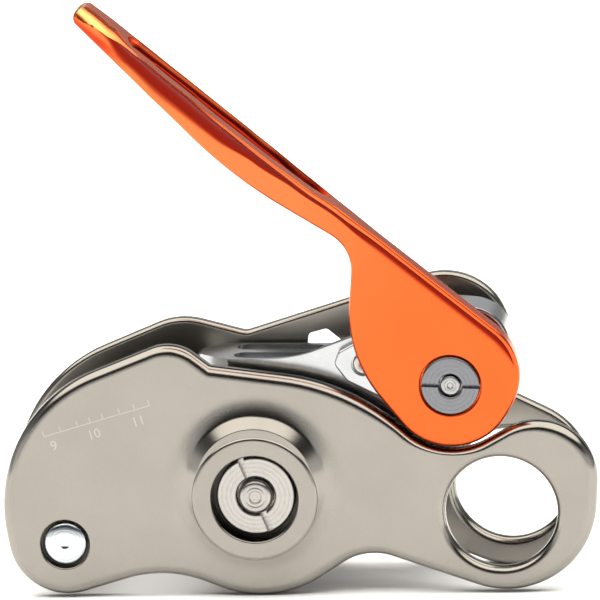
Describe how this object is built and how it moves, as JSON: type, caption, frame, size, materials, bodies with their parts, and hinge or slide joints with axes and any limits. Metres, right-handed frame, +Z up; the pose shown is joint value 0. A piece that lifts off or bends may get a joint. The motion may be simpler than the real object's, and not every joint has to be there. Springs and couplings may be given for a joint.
{
  "type": "assisted braking belay device",
  "caption": "Assisted braking belay device with a swinging side plate, a grooved rope cam, a sprung brake arm and a release handle.",
  "frame": {"origin": "centre of the box's underside, where the device stands on its axle and eye lobes", "axes": "+X along the plates towards the carabiner eye, +Y from the swinging front plate to the fixed back plate, +Z up"},
  "size_m": [0.112, 0.0324, 0.1129],
  "materials": {
    "plate": "satin anodised, warm grey",
    "steel": "turned",
    "spring": "drawn wire",
    "zinc": "bright zinc plated",
    "bronze": "plain bearing bronze",
    "cast": "bright cast steel",
    "orange": "orange anodised"
  },
  "bodies": {
    "back_plate_group": {"back_plate": "plate", "main_axle": "steel", "main_axle_nut": "steel", "front_washer": "steel", "back_washer": "steel", "cam_stop_pin": "steel", "cam_spring": "spring", "arm_spring": "spring", "handle_stud": "steel", "handle_nut": "steel", "stud_spacer": "steel", "rope_post": "steel", "post_rivet": "zinc"},
    "front_plate_group": {"front_plate": "plate", "plate_bush": "bronze", "latch_rivet": "zinc"},
    "cam_group": {"rope_cam": "cast", "cam_bush": "bronze"},
    "arm_group": {"brake_arm": "cast", "arm_side_plate": "cast", "side_plate_rivet": "steel", "arm_bush": "bronze"},
    "handle_group": {"handle": "orange", "handle_bush": "bronze"}
  },
  "joints": [
    {"name": "side_plate_swing", "type": "hinge", "parent": "back_plate_group", "child": "front_plate_group", "pos_m": [-0.00813, 0.00025, 0.0195], "axis": [0, 1, 0], "range_deg": [0, 60]},
    {"name": "handle_turn", "type": "hinge", "parent": "back_plate_group", "child": "handle_group", "pos_m": [0.02904, 0.00025, 0.04011], "axis": [0, 1, 0], "range_deg": [-6, 45]},
    {"name": "arm_swing", "type": "hinge", "parent": "back_plate_group", "child": "arm_group", "pos_m": [0.02904, 0.00025, 0.04011], "axis": [0, 1, 0], "range_deg": [-7, 4], "stiffness_Nm_per_rad": 0.2, "springref_deg": 1.2},
    {"name": "cam_turn", "type": "hinge", "parent": "back_plate_group", "child": "cam_group", "pos_m": [-0.00813, 0.00025, 0.0195], "axis": [0, 1, 0], "range_deg": [-5, 20], "stiffness_Nm_per_rad": 0.08, "springref_deg": 0.86}
  ]
}
